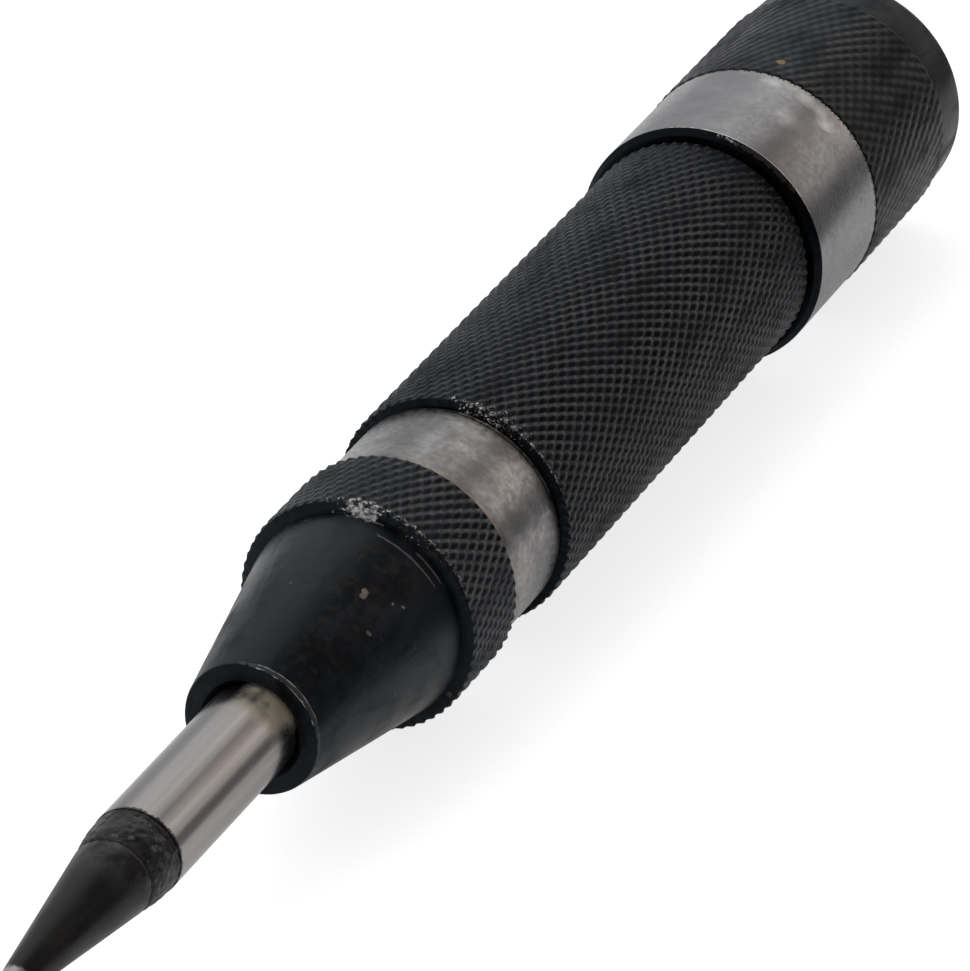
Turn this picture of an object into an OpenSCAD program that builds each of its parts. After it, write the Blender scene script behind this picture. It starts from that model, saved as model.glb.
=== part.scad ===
// Automatic centre punch: a spring-loaded hand punch for marking metal.
// It lies on its side along X with the point towards -X and the cap towards +X,
// and it rests on the plane z = 0 on the knurls of its cap and nose ring.
// Every piece is drawn upright on its own axis, at its station measured from
// the tip, and lay_down() turns the whole tool onto its side.

/* [Lengths along the tool] */
// Black tapered end of the punch point, tip to shank
point_taper_len = 20.8; // [14:0.1:26]
// Bright shank that shows in front of the nose at rest
shank_out = 15.4; // [12:0.1:24]
// Nose cone, front face to shoulder
nose_len = 15; // [11:0.1:20]
// Knurled ring that the nose is screwed in by
ring_len = 6.4; // [4:0.1:10]
// Ground band between the ring and the body
band_len = 8; // [5:0.1:12]
// Knurled body, front face to rear shoulder
body_len = 39.4; // [33:0.1:50]
// Adjusting cap, front face to rear end
cap_len = 26.7; // [25.5:0.1:34]
// Ground band at the front of the cap
cap_band_len = 9.4; // [6:0.1:11]
// Smooth rim behind the cap's knurl
cap_rim_len = 4.2; // [3:0.1:6]

/* [Diameters] */
// Body over the crests of its knurl
body_d = 16; // [15.4:0.1:20]
// How far the nose ring's knurl stands in from the body's, on the radius
ring_inset = 0.05; // [0:0.01:0.3]
// How far the ground band stands in from the body's knurl, on the radius
band_inset = 0.62; // [0.3:0.01:0.8]
// How far the cap's knurl stands out beyond the body's, on the radius
cap_proud = 0.75; // [0.4:0.05:1.5]
// How far the cap's ground band stands in from its knurl, on the radius
cap_band_inset = 0.1; // [0.02:0.01:0.4]
// Front face of the nose cone
nose_face_d = 8.8; // [8.4:0.1:10]
// Large end of the nose cone
nose_base_d = 14.2; // [13.4:0.1:14.6]
// Shank of the punch point
shank_d = 5.9; // [4.8:0.1:7.2]

/* [Mechanism] */
// Travel of the point from rest until the hammer is released
stroke = 9; // [7:0.1:10.8]
// Hammer diameter
hammer_d = 10.4; // [8.6:0.1:10.8]
// Hammer length without its spring boss
hammer_len = 24; // [20:0.1:26]
// How far the trigger block stands off centre at rest
trigger_lift = 0.9; // [0.7:0.05:1]
// Size of the trigger block along the tool
trigger_len = 6; // [5:0.1:7]
// Width of the trigger block across the tool
trigger_w = 5.9; // [5:0.1:6.4]
// Drive pin diameter
pin_d = 3; // [2.4:0.1:3.6]
// Wire of the main spring
main_wire = 1.3; // [1:0.05:1.4]
// Turns of the main spring
main_turns = 11; // [9:1:12]
// Wire of the return spring
return_wire = 0.5; // [0.4:0.05:0.6]
// Turns of the return spring
return_turns = 9; // [6:1:11]
// Length of the body's rear thread inside the cap
rear_thread_len = 13; // [11:0.1:15]
// Diameter of the body's rear thread
rear_thread_d = 13.8; // [13:0.1:14]

/* [Fits] */
// Radial play of the shank in the nose
shank_play = 0.08; // [0.03:0.01:0.1]
// Radial play of a piece that slides or screws in a bore
slide_play = 0.1; // [0.05:0.01:0.15]
// Play between faces that bear on each other
face_play = 0.05; // [0.02:0.01:0.1]
// Play between the drive pin and the trigger block at rest
trip_play = 0.1; // [0.05:0.01:0.2]
// Gap between the body's rear shoulder and the cap
cap_gap = 0.3; // [0.2:0.05:0.6]

/* [Hidden] */
$fn = 96;
over = 0.5; // how far a cut runs past the face that it opens

// Radii of the outside
body_r = body_d / 2;
ring_r = body_r - ring_inset;
band_r = body_r - band_inset;
cap_r = body_r + cap_proud;
cap_band_r = cap_r - cap_band_inset;
shank_r = shank_d / 2;
edge = 0.3;        // chamfer at the ends of a knurl
body_chamfer = 0.4; // chamfer at the body's front edge

// Stations of the outside, from the tip
nose_at = point_taper_len + shank_out;
ring_at = nose_at + nose_len;
band_at = ring_at + ring_len;
body_at = band_at + band_len;
body_end = body_at + body_len;
cap_at = body_end + cap_gap;
overall = cap_at + cap_len;

// Punch point: the taper starts at a short ground tip and ends in a neck
tip_r = 0.25;
neck_r = shank_r - 0.35;
neck_back = 1.6;   // the neck's end, ahead of the shank
taper_back = 3.2;  // the taper's end, ahead of the shank

// Bores and threads
bore_r = shank_r + shank_play;
guide_r = hammer_d / 2 + slide_play;
trigger_bore_r = guide_r + trigger_lift;
front_thread_r = trigger_bore_r + 0.4;
front_bore_r = front_thread_r + face_play;
front_thread_len = 9;
chamber_r = front_thread_r - 2;  // room for the point's head inside the nose
rear_thread_r = rear_thread_d / 2;
cap_bore_r = rear_thread_r + slide_play;

// Stations of the mechanism
chamber_at = nose_at + 9.9;       // shoulder that stops the point's head
head_len = 4;
head_at = chamber_at + face_play;
head_end = head_at + head_len;
spigot_end = body_at + front_thread_len;
hammer_at = spigot_end + 0.2;
hammer_end = hammer_at + hammer_len;
hammer_wall = 1.2;                // hammer's front wall, ahead of the trigger slot
trigger_at = hammer_at + hammer_wall;
trigger_end = trigger_at + trigger_len;
pin_end = trigger_at - trip_play;
anvil_at = pin_end + stroke - 0.1; // bottom of the hammer's bore, which strikes the pin
tube_end = body_end + rear_thread_len;
cap_wall = 4.7;                   // the cap's closed end
cap_bottom = overall - cap_wall;
seat_thick = 2.2;
seat_at = cap_bottom - face_play - seat_thick;

// Drive pin, and the collar that the return spring stands on
pin_r = pin_d / 2;
return_room = 0.85;               // between the pin and the spring round it
return_coil_r = pin_r + return_room + return_wire / 2;
collar_r = return_coil_r + return_wire / 2 + 0.15;
collar_len = 2;
collar_at = head_end + face_play;
socket_depth = 2.7;

// Springs
boss_len = 3;
main_coil_r = guide_r - 0.35 - main_wire / 2;
boss_r = main_coil_r - main_wire / 2 - 0.45;
trigger_wire = 0.3;
trigger_coil_r = 0.9;
trigger_turns = 4;
pocket_r = trigger_coil_r + trigger_wire / 2 + 0.25;

// Trigger slot, cut into the hammer from the side that the block stands out of
slot_floor = 3;                   // below the axis
block_base = slot_floor - 0.1 - trigger_lift;  // block's underside at rest, below the axis
pocket_floor = hammer_d / 2 - 0.5;
block_pocket = 0.8;

// Upright piece, at its station from the tip, onto the bench
module lay_down() {
    translate([-overall / 2, 0, max(cap_r, body_r)]) rotate([0, 90, 0]) children();
}

// Turned shape from its outline of [radius, station] points
module turned(outline) {
    rotate_extrude() polygon(outline);
}

// Straight hole from one station to another
module hole(radius, from, to) {
    translate([0, 0, from]) cylinder(r = radius, h = to - from);
}

// Height of a closed-end spring's wire above its foot, t turns up from the foot
function coil_rise(t, turns, wire, length) =
    let (dead = 1.02 * wire, active = (length - wire - 2 * dead) / (turns - 2))
    wire / 2 + (t < 1 ? t * dead
              : t > turns - 1 ? length - wire - (turns - t) * dead
              : dead + (t - 1) * active);

// Compression spring standing on the plane z = 0
module coil(wire, coil_r, turns, length, steps = 16, sides = 8) {
    rings = turns * steps;
    points = [for (i = [0 : rings]) let (turn = 360 * i / steps)
              for (k = [0 : sides - 1]) let (round = 360 * k / sides,
                                             out = coil_r + wire / 2 * cos(round))
              [out * cos(turn), out * sin(turn),
               coil_rise(i / steps, turns, wire, length) + wire / 2 * sin(round)]];
    foot = [for (k = [0 : sides - 1]) k];
    head = [for (k = [sides - 1 : -1 : 0]) rings * sides + k];
    skin = [for (i = [0 : rings - 1]) for (k = [0 : sides - 1])
            let (a = i * sides + k, b = i * sides + (k + 1) % sides)
            each [[a, a + sides, b + sides], [a, b + sides, b]]];
    polyhedron(points, concat([foot, head], skin));
}

// Nose, knurled ring and ground band in one turned piece, with its thread behind
module nosepiece() {
    face_r = nose_face_d / 2;
    base_r = nose_base_d / 2;
    break_edge = 0.2;
    groove_r = band_r - 0.2;
    groove_len = 0.25;
    relief_r = front_thread_r - 0.4;
    relief_len = 1.2;
    mouth = 0.3;
    color("#26282b") lay_down() difference() {
        turned([[0, nose_at], [face_r - break_edge, nose_at], [face_r, nose_at + break_edge],
                [base_r, ring_at - break_edge], [base_r, ring_at],
                [ring_r - edge, ring_at], [ring_r, ring_at + edge],
                [ring_r, band_at - edge], [ring_r - edge, band_at],
                [band_r, band_at], [band_r, body_at - groove_len],
                [groove_r, body_at - groove_len], [groove_r, body_at],
                [relief_r, body_at], [relief_r, body_at + relief_len],
                [front_thread_r, body_at + relief_len],
                [front_thread_r, spigot_end - edge], [front_thread_r - edge, spigot_end],
                [0, spigot_end]]);
        hole(bore_r, nose_at - over, chamber_at + over);
        hole(chamber_r, chamber_at, spigot_end + over);
        turned([[0, nose_at - over], [bore_r + mouth + over, nose_at - over],
                [bore_r, nose_at + mouth], [0, nose_at + mouth]]);
    }
}

// Knurled barrel: the bore narrows over the stroke, which pushes the trigger block in
module body_tube() {
    relief_r = rear_thread_r - 0.4;
    relief_len = 1;
    color("#2b2d30") lay_down() difference() {
        turned([[0, body_at], [body_r - body_chamfer, body_at], [body_r, body_at + body_chamfer],
                [body_r, body_end - edge], [body_r - edge, body_end],
                [relief_r, body_end], [relief_r, body_end + relief_len],
                [rear_thread_r, body_end + relief_len],
                [rear_thread_r, tube_end - edge], [rear_thread_r - edge, tube_end],
                [0, tube_end]]);
        hole(front_bore_r, body_at - over, spigot_end + slide_play);
        hole(trigger_bore_r, spigot_end, trigger_end);
        turned([[0, trigger_end], [trigger_bore_r, trigger_end],
                [guide_r, trigger_end + stroke], [0, trigger_end + stroke]]);
        hole(guide_r, trigger_end, tube_end + over);
    }
}

// Point, shank and head in one hardened piece, with a socket for the drive pin
module punch_point() {
    head_r = chamber_r - slide_play;
    color("#b9b6b2") lay_down() difference() {
        turned([[0, 0], [tip_r, tip_r],
                [neck_r, point_taper_len - taper_back], [neck_r, point_taper_len - neck_back],
                [shank_r, point_taper_len],
                [shank_r, head_at], [head_r, head_at],
                [head_r, head_end - edge], [head_r - edge, head_end], [0, head_end]]);
        hole(pin_r + face_play, head_end - socket_depth, head_end + over);
    }
}

// Stepped pin that pushes the hammer back and takes its blow
module drive_pin() {
    tip_break = 0.2;
    color("#9a9da1") lay_down()
        turned([[0, head_end - socket_depth + face_play],
                [pin_r, head_end - socket_depth + face_play], [pin_r, collar_at],
                [collar_r, collar_at], [collar_r, collar_at + collar_len],
                [pin_r, collar_at + collar_len], [pin_r, pin_end - tip_break],
                [pin_r - tip_break, pin_end], [0, pin_end]]);
}

// Light spring that keeps the pin clear of the trigger block
module return_spring() {
    foot = collar_at + collar_len + face_play;
    color("#8d9094") lay_down() translate([0, 0, foot])
        coil(return_wire, return_coil_r, return_turns, hammer_at - face_play - foot, 12, 6);
}

// Solid striker with a cross slot for the trigger block and a bore for the pin
module hammer() {
    slot_play = face_play;
    hammer_r = hammer_d / 2;
    color("#7f8388") lay_down() difference() {
        turned([[0, hammer_at], [hammer_r - edge, hammer_at], [hammer_r, hammer_at + edge],
                [hammer_r, hammer_end - edge], [hammer_r - edge, hammer_end],
                [boss_r, hammer_end], [boss_r, hammer_end + boss_len - edge],
                [boss_r - edge, hammer_end + boss_len], [0, hammer_end + boss_len]]);
        hole(pin_r + 0.25, hammer_at - over, anvil_at);
        translate([-trigger_w / 2 - slot_play, -slot_floor, trigger_at - slot_play])
            cube([trigger_w + 2 * slot_play, slot_floor + hammer_d, trigger_len + 2 * slot_play]);
        trigger_pocket(slot_floor - over, pocket_floor);
    }
}

// Round pocket across the tool, between two depths below the axis
module trigger_pocket(from, to) {
    translate([0, -from, (trigger_at + trigger_end) / 2]) rotate([90, 0, 0])
        cylinder(r = pocket_r, h = to - from);
}

// Sliding block whose hole stands off centre until the barrel's taper pushes it in
module trigger_block() {
    color("#a8884e") lay_down() difference() {
        intersection() {
            translate([-trigger_w / 2, -block_base, trigger_at])
                cube([trigger_w, block_base + hammer_d, trigger_len]);
            translate([0, trigger_lift, trigger_at - over])
                cylinder(r = hammer_d / 2, h = trigger_len + 2 * over);
        }
        translate([0, trigger_lift, 0]) hole(pin_r + slide_play, trigger_at - over, trigger_end + over);
        trigger_pocket(block_base - block_pocket, block_base + over);
    }
}

// Small spring that holds the trigger block off centre
module trigger_spring() {
    foot = pocket_floor - face_play;
    head = block_base - block_pocket + face_play;
    color("#8d9094") lay_down()
        translate([0, -foot, (trigger_at + trigger_end) / 2]) rotate([-90, 0, 0])
        coil(trigger_wire, trigger_coil_r, trigger_turns, foot - head, 12, 6);
}

// Heavy spring that drives the hammer
module main_spring() {
    foot = hammer_end + face_play;
    color("#74777b") lay_down() translate([0, 0, foot])
        coil(main_wire, main_coil_r, main_turns, seat_at - face_play - foot);
}

// Washer with a boss that centres the main spring in the cap
module spring_seat() {
    color("#9a9da1") lay_down()
        turned([[0, seat_at - boss_len], [boss_r - edge, seat_at - boss_len],
                [boss_r, seat_at - boss_len + edge], [boss_r, seat_at],
                [guide_r, seat_at], [guide_r, seat_at + seat_thick],
                [0, seat_at + seat_thick]]);
}

// Screwed cap: turning it sets the main spring's load and the force of the blow
module adjusting_cap() {
    front_chamfer = 0.55;
    knurl_at = cap_at + cap_band_len + 0.6;
    rim_at = overall - cap_rim_len;
    rim_r = cap_r - 0.15;
    rim_end_r = cap_r - 0.35;
    rim_round = 0.9;
    knurl_edge = 0.15;
    chamber_bore_r = guide_r + slide_play;
    rim_arc = [for (turn = [0 : 15 : 90])
               [rim_end_r - rim_round + rim_round * cos(turn),
                overall - rim_round + rim_round * sin(turn)]];
    color("#26282b") lay_down() difference() {
        turned(concat([[0, cap_at], [cap_band_r - front_chamfer, cap_at],
                       [cap_band_r, cap_at + front_chamfer], [cap_band_r, knurl_at],
                       [cap_r, knurl_at + knurl_edge], [cap_r, rim_at - knurl_edge],
                       [rim_r, rim_at]],
                      rim_arc, [[0, overall]]));
        hole(cap_bore_r, cap_at - over, tube_end + 1.3);
        hole(chamber_bore_r, tube_end, cap_bottom);
    }
}

nosepiece();
body_tube();
punch_point();
drive_pin();
return_spring();
hammer();
trigger_block();
trigger_spring();
main_spring();
spring_seat();
adjusting_cap();
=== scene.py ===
"""An automatic centre punch, lying on a white table: its finishes, knurls, threads and springs."""
import math
from functools import partial

import bpy
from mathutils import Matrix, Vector


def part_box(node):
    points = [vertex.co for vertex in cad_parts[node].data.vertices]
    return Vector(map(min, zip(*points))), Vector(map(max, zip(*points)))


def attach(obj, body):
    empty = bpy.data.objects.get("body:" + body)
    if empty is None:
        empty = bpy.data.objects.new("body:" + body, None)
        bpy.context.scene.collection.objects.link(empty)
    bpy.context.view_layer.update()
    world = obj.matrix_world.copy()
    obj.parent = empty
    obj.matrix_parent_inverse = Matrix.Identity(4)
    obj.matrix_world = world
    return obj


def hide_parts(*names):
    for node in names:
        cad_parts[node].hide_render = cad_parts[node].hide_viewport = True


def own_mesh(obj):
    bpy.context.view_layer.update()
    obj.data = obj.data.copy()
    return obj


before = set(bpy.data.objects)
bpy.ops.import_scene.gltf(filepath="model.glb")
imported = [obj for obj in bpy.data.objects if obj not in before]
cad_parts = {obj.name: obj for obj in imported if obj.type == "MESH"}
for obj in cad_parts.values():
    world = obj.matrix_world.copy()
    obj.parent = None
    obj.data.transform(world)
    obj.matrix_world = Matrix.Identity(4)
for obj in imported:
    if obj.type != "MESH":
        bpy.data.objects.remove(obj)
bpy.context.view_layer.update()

# ----------------------------------------------------------
# The table, the light and the camera.
# The tool lies on a white table between long soft strip lights that run the same way as the
# tool, so that every turned part shows a bright left side, a dark strip and a pale underside.
# ----------------------------------------------------------
MM = 0.001
body_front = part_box("body_tube")[0].x
axis_height = (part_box("body_tube")[0].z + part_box("body_tube")[1].z) / 2


def place_camera(azimuth, elevation, distance, aim, lens):
    """Camera that looks at aim; azimuth 0 looks along +Y and positive azimuths come from +X."""
    a, e = math.radians(azimuth), math.radians(elevation)
    towards = Vector((math.sin(a) * math.cos(e), -math.cos(a) * math.cos(e), math.sin(e)))
    data = bpy.data.cameras.new("camera")
    data.lens = lens
    camera = bpy.data.objects.new("camera", data)
    camera.location = aim + distance * towards
    camera.rotation_euler = (math.pi / 2 - e, 0, a)
    bpy.context.scene.collection.objects.link(camera)
    bpy.context.scene.camera = camera


place_camera(azimuth=-65.9, elevation=28.7, distance=500.4 * MM,
             aim=Vector((1.37, -1.36, 10.09)) * MM, lens=296.6)


def add_node(tree, kind, inputs=None, **settings):
    """A new node with its settings; its inputs are plain values or other nodes' outputs."""
    node = tree.nodes.new(kind)
    for name, value in settings.items():
        setattr(node, name, value)
    for key, value in (inputs or {}).items():
        if isinstance(value, bpy.types.NodeSocket):
            tree.links.new(value, node.inputs[key])
        else:
            node.inputs[key].default_value = value
    return node


def own_tree(values):
    """The node tree that the first of these values with a socket belongs to."""
    return next(value for value in values if isinstance(value, bpy.types.NodeSocket)).id_data


def maths(operation, *values, clamp=False):
    """Result of one arithmetic step on sockets and plain numbers."""
    inputs = dict(enumerate(values))
    step = add_node(own_tree(values), "ShaderNodeMath", inputs, operation=operation, use_clamp=clamp)
    return step.outputs[0]


plus, minus = partial(maths, "ADD"), partial(maths, "SUBTRACT")
times, over = partial(maths, "MULTIPLY"), partial(maths, "DIVIDE")
times_plus = partial(maths, "MULTIPLY_ADD")
larger, smaller = partial(maths, "MAXIMUM"), partial(maths, "MINIMUM")
exceeds, under = partial(maths, "GREATER_THAN"), partial(maths, "LESS_THAN")


def vectors(operation, *values):
    """Result of one step of vector arithmetic: a number for a length, distance or dot product."""
    step = add_node(own_tree(values), "ShaderNodeVectorMath", dict(enumerate(values)), operation=operation)
    return step.outputs["Value" if operation in ("LENGTH", "DISTANCE", "DOT_PRODUCT") else "Vector"]


def split(vector):
    """The X, Y and Z of a vector."""
    return add_node(vector.id_data, "ShaderNodeSeparateXYZ", {0: vector}).outputs


def joined(tree, *parts):
    """A vector from its X, Y and Z."""
    return add_node(tree, "ShaderNodeCombineXYZ", dict(enumerate(parts))).outputs[0]


def light_room(strength, low_lights, high_lights):
    """World of strip lights: each is (degrees round the tool from +Y over the top, colour).

    The low lights stand ahead of the tool; the high lights hang over it and behind the camera.
    """
    world = bpy.data.worlds.new("strip_lights")
    world.use_nodes = True
    tree = world.node_tree
    tree.nodes.clear()
    way = split(add_node(tree, "ShaderNodeTexCoord").outputs["Generated"])
    round_tool = maths("ARCTAN2", way["Z"], way["Y"])
    colours = []
    for strips in (high_lights, low_lights):
        ramp = add_node(tree, "ShaderNodeValToRGB", {0: over(round_tool, math.pi, clamp=True)})
        ramp.color_ramp.interpolation = "EASE"
        stops = ramp.color_ramp.elements
        while len(stops) < len(strips):
            stops.new(0.5)
        for stop, (degrees, colour) in zip(stops, strips):
            stop.position = degrees / 180
            stop.color = (*colour, 1)
        colours.append(ramp.outputs[0])
    ahead = add_node(tree, "ShaderNodeMapRange", {
        "Value": way["X"], "From Min": 0.6, "From Max": 0.76}, interpolation_type="SMOOTHSTEP")
    mix = add_node(tree, "ShaderNodeMix", {0: ahead.outputs[0], 6: colours[0], 7: colours[1]},
                   data_type="RGBA")
    lit = add_node(tree, "ShaderNodeBackground", {"Color": mix.outputs[2], "Strength": strength})
    white = add_node(tree, "ShaderNodeBackground", {"Color": (1, 1, 1, 1), "Strength": 1.0})
    seen = add_node(tree, "ShaderNodeLightPath").outputs["Is Camera Ray"]
    both = add_node(tree, "ShaderNodeMixShader", {0: seen, 1: lit.outputs[0], 2: white.outputs[0]})
    add_node(tree, "ShaderNodeOutputWorld", {"Surface": both.outputs[0]})
    bpy.context.scene.world = world


light_room(strength=1.2, low_lights=[
    (0, (0.50, 0.51, 0.52)),
    (20, (0.50, 0.51, 0.53)),
    (56, (0.72, 0.73, 0.75)),
    (84, (0.98, 0.98, 0.98)),
    (103, (0.84, 0.83, 0.81)),
    (113, (0.26, 0.25, 0.25)),
    (124, (0.67, 0.60, 0.59)),
    (146, (0.89, 0.84, 0.82)),
    (161, (0.76, 0.72, 0.71)),
    (171, (0.33, 0.32, 0.32)),
    (180, (0.28, 0.28, 0.28)),
], high_lights=[
    (0, (0.50, 0.51, 0.52)),
    (20, (0.50, 0.51, 0.53)),
    (50, (0.70, 0.71, 0.73)),
    (74, (0.75, 0.76, 0.78)),
    (88, (0.30, 0.30, 0.31)),
    (100, (0.12, 0.12, 0.12)),
    (180, (0.08, 0.08, 0.08)),
])


def new_piece(name, mesh):
    """Object that holds the mesh."""
    piece = bpy.data.objects.new(name, mesh)
    bpy.context.scene.collection.objects.link(piece)
    return piece


def flat_piece(name, corners, colour):
    """Flat four-cornered piece of the stage with a matt colour; also gives its tree and skin."""
    mesh = bpy.data.meshes.new(name)
    mesh.from_pydata(corners, [], [(0, 1, 2, 3)])
    piece = new_piece(name, mesh)
    finish = bpy.data.materials.new(name + "_colour")
    finish.use_nodes = True
    skin = finish.node_tree.nodes["Principled BSDF"]
    skin.inputs["Base Color"].default_value = (*colour, 1)
    skin.inputs["Roughness"].default_value = 0.9
    skin.inputs["Specular IOR Level"].default_value = 0.1
    mesh.materials.append(finish)
    return piece, finish.node_tree, skin


def lay_table(reach, camera_glow, mirror_glow):
    """White table top; its glow lifts it to white for the camera, less so in reflections."""
    corners = [(-reach, -reach, 0), (reach, -reach, 0), (reach, reach, 0), (-reach, reach, 0)]
    tree, skin = flat_piece("table", corners, (0.9, 0.9, 0.9))[1:]
    skin.inputs["Emission Color"].default_value = (1, 1, 1, 1)
    path = add_node(tree, "ShaderNodeLightPath").outputs
    mirrored = larger(path["Is Glossy Ray"], path["Is Transmission Ray"])
    glow = larger(times(mirrored, mirror_glow), times(path["Is Camera Ray"], camera_glow))
    tree.links.new(glow, skin.inputs["Emission Strength"])


def stand_card(distance, height, reach):
    """Dark card standing on the camera's side of the tool, there only to be reflected."""
    corners = [(-reach, -distance, 0), (reach, -distance, 0),
               (reach, -distance, height), (-reach, -distance, height)]
    card = flat_piece("dark_card", corners, (0.38, 0.38, 0.38))[0]
    for rays in ("camera", "diffuse", "shadow", "transmission", "volume_scatter"):
        setattr(card, "visible_" + rays, False)


lay_table(reach=2.0, camera_glow=0.78, mirror_glow=0.36)
stand_card(distance=40 * MM, height=17 * MM, reach=1.0)
bpy.context.scene.view_settings.view_transform = "Standard"

# ----------------------------------------------------------
# The nose: cone and knurled ring in one.
# A black-oxide steel turning with the bore for the shank. Its diamond-knurled ring is what the
# fingers turn to screw the nose into the body; the ring's front edge is chipped bright.
# ----------------------------------------------------------


def new_tree(name, kind, inputs, outputs):
    """Node group and what it is given; an input has a starting value or, failing that, a kind."""
    tree = bpy.data.node_groups.new(name, kind)
    kinds = {float: "Float", int: "Int", tuple: "Vector"}
    for label, value in inputs.items():
        socket_type = "NodeSocket" + kinds.get(type(value), str(value))
        socket = tree.interface.new_socket(label, in_out="INPUT", socket_type=socket_type)
        if type(value) in kinds:
            socket.default_value = value
    result = "NodeSocketGeometry" if kind == "GeometryNodeTree" else "NodeSocketFloat"
    for label in outputs:
        tree.interface.new_socket(label, in_out="OUTPUT", socket_type=result)
    return tree, tree.nodes.new("NodeGroupInput").outputs


def socket_name(label):
    """The name a node group's input has for a keyword: words apart, with capitals."""
    return label.replace("_", " ").title()


def reshaped(shape, kind, inputs=None, **settings):
    """The geometry after one more node."""
    inputs = {"Geometry": shape, **(inputs or {})}
    return add_node(shape.id_data, "GeometryNode" + kind, inputs, **settings).outputs[0]


def close_tree(shape, finish):
    """Last nodes of a piece's tree: real geometry, its finish, and out."""
    shape = reshaped(reshaped(shape, "RealizeInstances"), "SetMaterial", {"Material": finish})
    add_node(shape.id_data, "NodeGroupOutput", {0: shape})


def noise(vector, seed, scale, detail):
    """Cloudy noise; each seed has its own."""
    given = {"Vector": vector, "W": seed, "Scale": scale, "Detail": detail}
    return add_node(vector.id_data, "ShaderNodeTexNoise", given, noise_dimensions="4D").outputs[0]


def knurl_height(turn, station, given, ridge):
    """Height of a knurl, from 0 in a pit to 1 on a crest, where two families of ridges cross."""
    ridges = []
    for hand, way in (("Right", plus), ("Left", minus)):
        around = times(turn, given[hand + " Starts"])
        ridges.append(ridge(way(around, over(station, given[hand + " Pitch"]))))
    crossing, single = 0.4, 0.6
    mean = times(plus(*ridges), 0.5)
    return times_plus(smaller(*ridges), crossing, times(mean, single))


def lathe_tree():
    """Spins an outline of (station, radius) points round the tool's axis, then cuts it.

    Points marked "knurl" get two families of rolled ridges that wind opposite ways, those
    marked "thread" a right-hand screw thread, and those marked "rough" a scaly surface.
    """
    tree, given = new_tree("lathe", "GeometryNodeTree", {
        "Outline": "Geometry", "Closed": 1, "Columns": 96, "Axis Height": 0.0, "Knurl Radius": 0.0,
        "Knurl Depth": 0.0, "Right Starts": 60, "Right Pitch": 0.001, "Left Starts": 60,
        "Left Pitch": 0.001, "Crest Wear": 0.2, "Thread Pitch": 0.001, "Thread Depth": 0.0,
        "Scale Depth": 0.0, "Scale Size": 0.001, "Seed": 0.0, "Finish": "Material",
    }, ["Piece"])
    points = add_node(tree, "GeometryNodeAttributeDomainSize", {0: given["Outline"]}).outputs[0]
    rows = plus(points, given["Closed"])
    grid = add_node(tree, "GeometryNodeMeshGrid", {
        "Vertices X": plus(given["Columns"], 1), "Vertices Y": rows})
    index = add_node(tree, "GeometryNodeInputIndex").outputs[0]
    column = maths("FLOOR", over(index, rows))
    row = minus(index, times(column, rows))
    row = maths("FLOORED_MODULO", row, points)
    turn = over(column, given["Columns"])

    def outline(kind, field):
        """What the outline has at this row."""
        sampled = {"Value": field, "Index": row}
        return reshaped(given["Outline"], "SampleIndex", sampled, data_type=kind, domain="POINT")

    def mark(name):
        """How strongly a mark applies at this row."""
        named = add_node(tree, "GeometryNodeInputNamedAttribute", {"Name": name}, data_type="FLOAT")
        return outline("FLOAT", named.outputs[0])

    place = split(outline("FLOAT_VECTOR", add_node(tree, "GeometryNodeInputPosition").outputs[0]))
    station, radius = place["X"], place["Y"]

    def rolled(phase):
        """Rounded ridge."""
        return times_plus(maths("COSINE", times(phase, 2 * math.pi)), 0.5, 0.5)

    # The knurl, worn flat at the very top of its crests
    height = knurl_height(turn, station, given, rolled)
    height = over(height, minus(1, given["Crest Wear"]), clamp=True)
    knurl = mark("knurl")
    cut = times(minus(1, height), given["Knurl Depth"])
    cut = minus(radius, minus(given["Knurl Radius"], cut))
    cut = times(larger(cut, 0), knurl)
    radius = minus(radius, cut)

    # Screw thread with narrow flats on its crest and in its root
    lead = minus(over(station, given["Thread Pitch"]), turn)
    groove = maths("PINGPONG", lead, 0.5)
    flank_slope, crest_flat = 2.6, -0.15
    groove = times_plus(groove, flank_slope, crest_flat, clamp=True)
    groove = times(groove, times(mark("thread"), given["Thread Depth"]))
    radius = minus(radius, groove)

    # Onto the axis, then the scaly surface
    angle = times(turn, 2 * math.pi)

    def spun(reach):
        """Point on the turned surface at that radius."""
        up = times_plus(maths("SINE", angle), reach, given["Axis Height"])
        side = times(maths("COSINE", angle), reach)
        return joined(tree, station, side, up)

    scale = noise(spun(radius), given["Seed"], over(1, given["Scale Size"]), 3.0)
    contrast, least = 2.4, -0.7
    bite = times_plus(scale, contrast, least, clamp=True)
    bite = times(times(bite, mark("rough")), given["Scale Depth"])
    spot = spun(minus(radius, bite))

    shape = grid.outputs["Mesh"]
    for name, value in (("knurl", knurl), ("scaly", bite)):
        shape = reshaped(shape, "StoreNamedAttribute", {"Name": name, "Value": value},
                         data_type="FLOAT", domain="POINT")
    shape = reshaped(shape, "SetPosition", {"Position": spot})
    shape = reshaped(shape, "MergeByDistance", {"Distance": 0.001 * MM})

    # Smooth all over, but for the sharp corners of plain turned surfaces
    shape = reshaped(shape, "SetShadeSmooth", {"Shade Smooth": True}, domain="FACE")
    bend = add_node(tree, "GeometryNodeInputMeshEdgeAngle").outputs["Unsigned Angle"]
    corner = exceeds(bend, math.radians(38))
    shown = add_node(tree, "GeometryNodeInputNamedAttribute", {"Name": "knurl"}, data_type="FLOAT")
    sharp = times(under(shown.outputs[0], 0.01), corner)
    shape = reshaped(shape, "SetShadeSmooth", {"Selection": sharp, "Shade Smooth": False}, domain="EDGE")
    close_tree(shape, given["Finish"])
    return tree


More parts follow.
